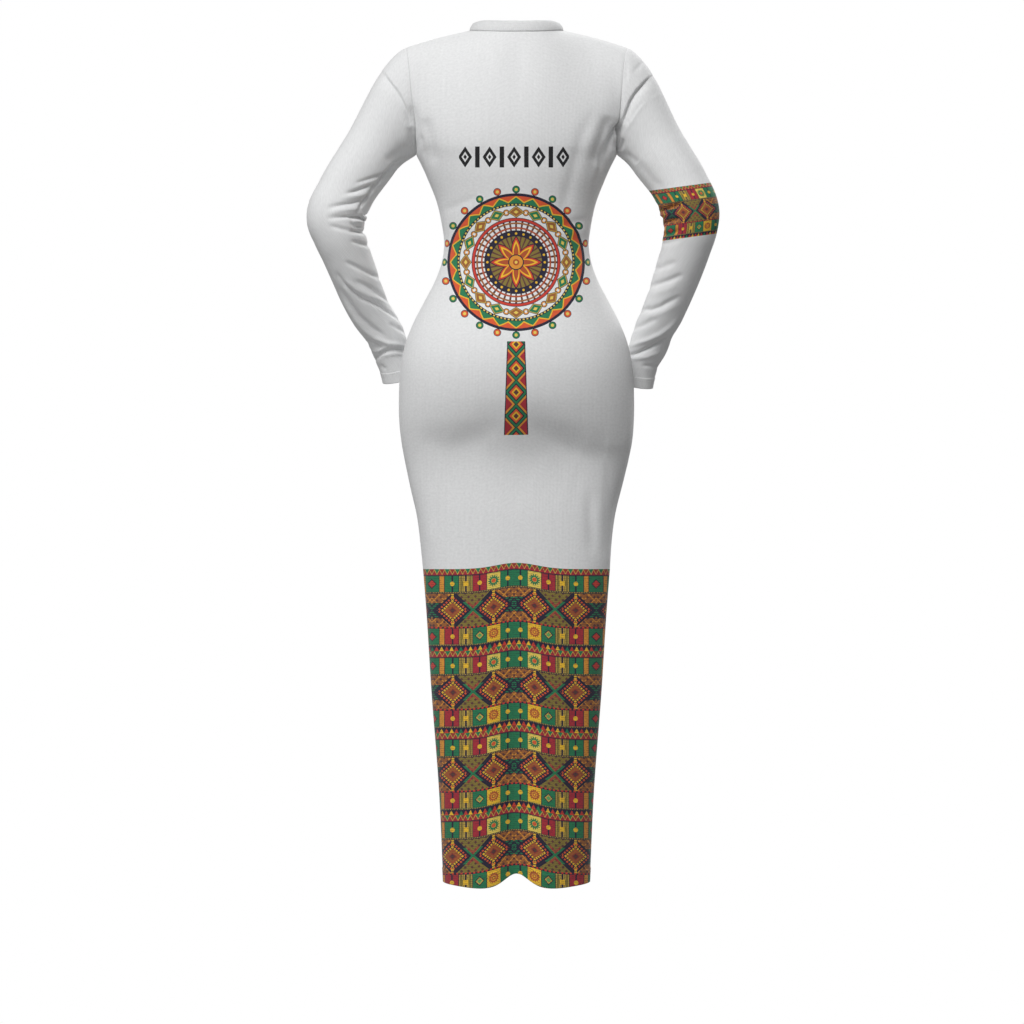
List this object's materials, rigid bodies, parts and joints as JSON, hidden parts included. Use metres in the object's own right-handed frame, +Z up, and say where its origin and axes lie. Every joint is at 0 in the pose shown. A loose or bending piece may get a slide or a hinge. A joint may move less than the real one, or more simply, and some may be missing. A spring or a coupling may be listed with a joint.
{
  "type": "long-sleeved bodycon maxi dress",
  "caption": "Close-fitting full-length knit dress in its worn form, hollow, with long bent sleeves, a round neck and an ornamental woven-look print on the lower skirt.",
  "frame": {"origin": "midway between the two neck points of the shoulder seams, at their height, where the wearer's shoulders hold the dress", "axes": "+Z up the dress, -Y out of its front, +X to the wearer's left"},
  "size_m": [0.655, 0.2506, 1.3798],
  "materials": {
    "back_panel": "matt fine-ribbed white knit, printed below the knee",
    "front_panel": "matt fine-ribbed white knit, printed below the knee",
    "left_sleeve": "matt fine-ribbed white knit",
    "right_sleeve": "matt fine-ribbed white knit with a printed band at the elbow",
    "neck_band": "matt white rib knit"
  },
  "bodies": {
    "root": {"back_panel": "back_panel", "front_panel": "front_panel", "left_sleeve": "left_sleeve", "right_sleeve": "right_sleeve", "neck_band": "neck_band"}
  },
  "joints": []
}
